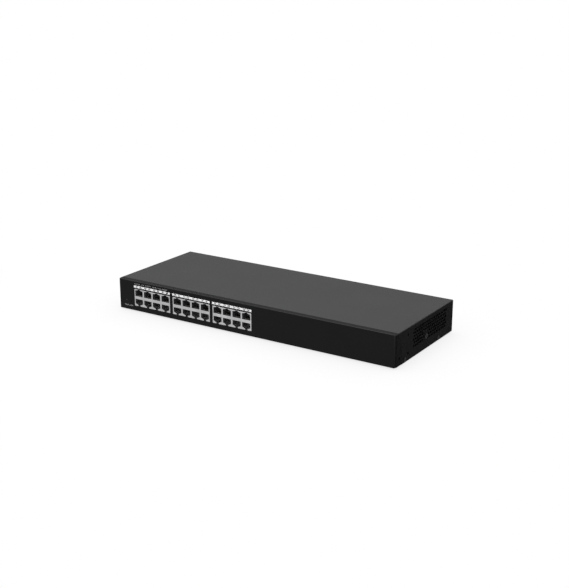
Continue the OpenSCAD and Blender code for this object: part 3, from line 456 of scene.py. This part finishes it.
INK_DEPTH = 0.02 * MM
INK = dict(rough=(0.5, 0.6), level=0.2, grain=0.15 * MM, bump=0.1)
INK_DARK = dict(colour=(0.03, 0.03, 0.032), **INK)
INK_LIGHT = dict(colour=(0.36, 0.36, 0.36), vary=0.08, **INK)
# Straight steps in each curve of a letter
LETTER_STEPS = 3

# A letter's weight is how far its outline is pushed out, in font sizes
WORD_WEIGHT = 0.012
NUMBER_WEIGHT = 0.045

# Port numbers: columns of jacks in a block, their spacing, and a number's distance from the middle
# of its column and font size
COLUMNS = 4
PORT_PITCH = 15.7 * MM
NUMBER_DX = 3.6 * MM
NUMBER_SIZE = 3.4 * MM

# Words in light ink: text, left end, width, foot and cap height in the part's frame
LEGEND = (
    ("STATUS", -192.2 * MM, 9.5 * MM, 41.3 * MM, 1.5 * MM),
    ("LINK / ACTIVITY", -179.5 * MM, 17.0 * MM, 41.3 * MM, 1.5 * MM),
    ("SPEED / FULL DUPLEX", -159.8 * MM, 26.5 * MM, 41.3 * MM, 1.5 * MM),
    ("POWER", -211.3 * MM, 7.4 * MM, 7.8 * MM, 1.8 * MM),
    ("RESET", -202.2 * MM, 6.4 * MM, 7.8 * MM, 1.8 * MM),
)


def word_mesh(text, weight):
    """A word as a closed slab in x and y, one unit per font size, with its front at z above 0."""
    curve = bpy.data.curves.new("word", "FONT")
    curve.body = text
    curve.resolution_u = LETTER_STEPS
    curve.extrude = 1.0
    curve.offset = weight
    holder = bpy.data.objects.new("word", curve)
    scene.collection.objects.link(holder)
    bpy.context.view_layer.update()
    evaluated = holder.evaluated_get(bpy.context.evaluated_depsgraph_get())
    mesh = bpy.data.meshes.new_from_object(evaluated)
    bpy.data.objects.remove(holder)
    bpy.data.curves.remove(curve)
    return mesh


def centred(x, z, size):
    """Puts a word's middle at x and z, at a font size."""
    def place(width, height):
        return x - width * size / 2, z - height * size / 2, size, size
    return place


def stretched(left, foot, width, height):
    """Stretches a word over a width and a height from its lower left end."""
    def place(own_width, own_height):
        return left, foot, width / own_width, height / own_height
    return place


def stamp(target, text, weight, place):
    """Adds a word to a bmesh, flat on the front face, where place puts a word of its size."""
    mesh = word_mesh(text, weight)
    xs = [v.co.x for v in mesh.vertices]
    ys = [v.co.y for v in mesh.vertices]
    x0, y0 = min(xs), min(ys)
    left, foot, scale_x, scale_z = place(max(xs) - x0, max(ys) - y0)
    for v in mesh.vertices:
        y = FRONT_Y - (INK_DEPTH if v.co.z > 0 else 0)
        v.co = (left + (v.co.x - x0) * scale_x, y, foot + (v.co.y - y0) * scale_z)
    target.from_mesh(mesh)
    bpy.data.meshes.remove(mesh)


def new_piece(name, bm, material):
    mesh = bpy.data.meshes.new(name)
    bm.to_mesh(mesh)
    bm.free()
    mesh.materials.append(material)
    piece = bpy.data.objects.new(name, mesh)
    scene.collection.objects.link(piece)
    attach(piece, BODY)


def print_port_numbers():
    """Numbers of the upper and lower jack on either side of each column's middle."""
    low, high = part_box("port_strips")
    middle_z = (low.z + high.z) / 2
    port = 0
    bm = bmesh.new()
    for side in ("left", "middle", "right"):
        shield_low, shield_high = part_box("jack_shield_" + side)
        centre = (shield_low.x + shield_high.x) / 2
        for column in range(COLUMNS):
            x = centre + (column - (COLUMNS - 1) / 2) * PORT_PITCH
            for offset in (-NUMBER_DX, NUMBER_DX):
                port += 1
                stamp(bm, f"{port:02d}", NUMBER_WEIGHT, centred(x + offset, middle_z, NUMBER_SIZE))
    new_piece("port_numbers", bm, finish("ink_dark", **INK_DARK))


def print_legend():
    bm = bmesh.new()
    for text, left, width, foot, height in LEGEND:
        stamp(bm, text, WORD_WEIGHT, stretched(left, foot, width, height))
    new_piece("front_legend", bm, finish("ink_light", **INK_LIGHT))


# Stage

def floor_material():
    """White to the camera, with a contact shade and the lamps' own shadow; dark to other rays."""
    material, tree, output = new_material("stage_floor")
    direct = is_seen_directly(tree)
    surface = add(tree, "ShaderNodeBsdfDiffuse")
    join(tree, mix_colour(tree, direct, scaled(FLOOR_DARK), scaled(WHITE, FLOOR_WHITE)),
         surface.inputs["Color"])
    near = add(tree, "ShaderNodeAmbientOcclusion", samples=FLOOR_SHADE_SAMPLES,
               Distance=FLOOR_SHADE_REACH)
    glow = add(tree, "ShaderNodeEmission")
    join(tree, mix_colour(tree, direct, scaled(FLOOR_DARK), scaled(WHITE)), glow.inputs["Color"])
    join(tree, remap(tree, near.outputs["AO"], (1 - FLOOR_SHADE, 1.0), UNIT),
         glow.inputs["Strength"])
    place = tree.nodes.new("ShaderNodeTexCoord")
    reach = add(tree, "ShaderNodeVectorMath", operation="LENGTH")
    join(tree, place.outputs["Object"], reach.inputs[0])
    blend = add(tree, "ShaderNodeMixShader")
    join(tree, remap(tree, reach.outputs["Value"], (FLOOR_GLOW, 1.0), (FLOOR_NEAR, FLOOR_FAR)),
         blend.inputs["Fac"])
    join(tree, surface.outputs[0], blend.inputs[1])
    join(tree, glow.outputs[0], blend.inputs[2])
    join(tree, blend.outputs[0], output.inputs["Surface"])
    return material


def make_floor():
    mesh = bpy.data.meshes.new("floor")
    h = FLOOR_HALF
    mesh.from_pydata([(-h, -h, 0), (h, -h, 0), (h, h, 0), (-h, h, 0)], [], [(0, 1, 2, 3)])
    floor = bpy.data.objects.new("floor", mesh)
    scene.collection.objects.link(floor)
    mesh.materials.append(floor_material())


def make_world():
    """White where it is seen, and dim where it lights the part."""
    world = bpy.data.worlds.new("surround")
    world.use_nodes = True
    tree = world.node_tree
    tree.nodes.clear()
    output = tree.nodes.new("ShaderNodeOutputWorld")
    background = add(tree, "ShaderNodeBackground", Color=scaled(WHITE))
    join(tree, remap(tree, is_seen_directly(tree), (SURROUND_LEVEL, 1.0), UNIT),
         background.inputs["Strength"])
    join(tree, background.outputs[0], output.inputs["Surface"])
    scene.world = world


def make_lamp(name, towards, distance, size, level):
    """A square lamp that looks at the origin, where its level is its energy / (pi * distance)^2."""
    lamp = bpy.data.lights.new(name, "AREA")
    lamp.shape = "SQUARE"
    lamp.size = size
    lamp.energy = level * math.pi ** 2 * distance ** 2
    holder = bpy.data.objects.new(name, lamp)
    direction = Vector(towards).normalized()
    holder.location = direction * distance
    holder.rotation_euler = direction.to_track_quat("Z", "Y").to_euler()
    scene.collection.objects.link(holder)


def make_camera():
    data = bpy.data.cameras.new("camera")
    data.lens = CAMERA_LENS
    data.clip_start = CAMERA_CLIP
    camera = bpy.data.objects.new("camera", data)
    camera.location = CAMERA_AT
    camera.rotation_euler = (math.pi / 2 - CAMERA_ELEVATION, 0, CAMERA_AZIMUTH)
    scene.collection.objects.link(camera)
    scene.camera = camera


scene.view_settings.view_transform = "Standard"
make_camera()
make_world()
for lamp_name, lamp_values in LAMPS.items():
    make_lamp(lamp_name, **lamp_values)
make_floor()
dress_nodes()
for softened, edge_width in EDGE_WIDTHS.items():
    soften(softened, edge_width)
print_port_numbers()
print_legend()
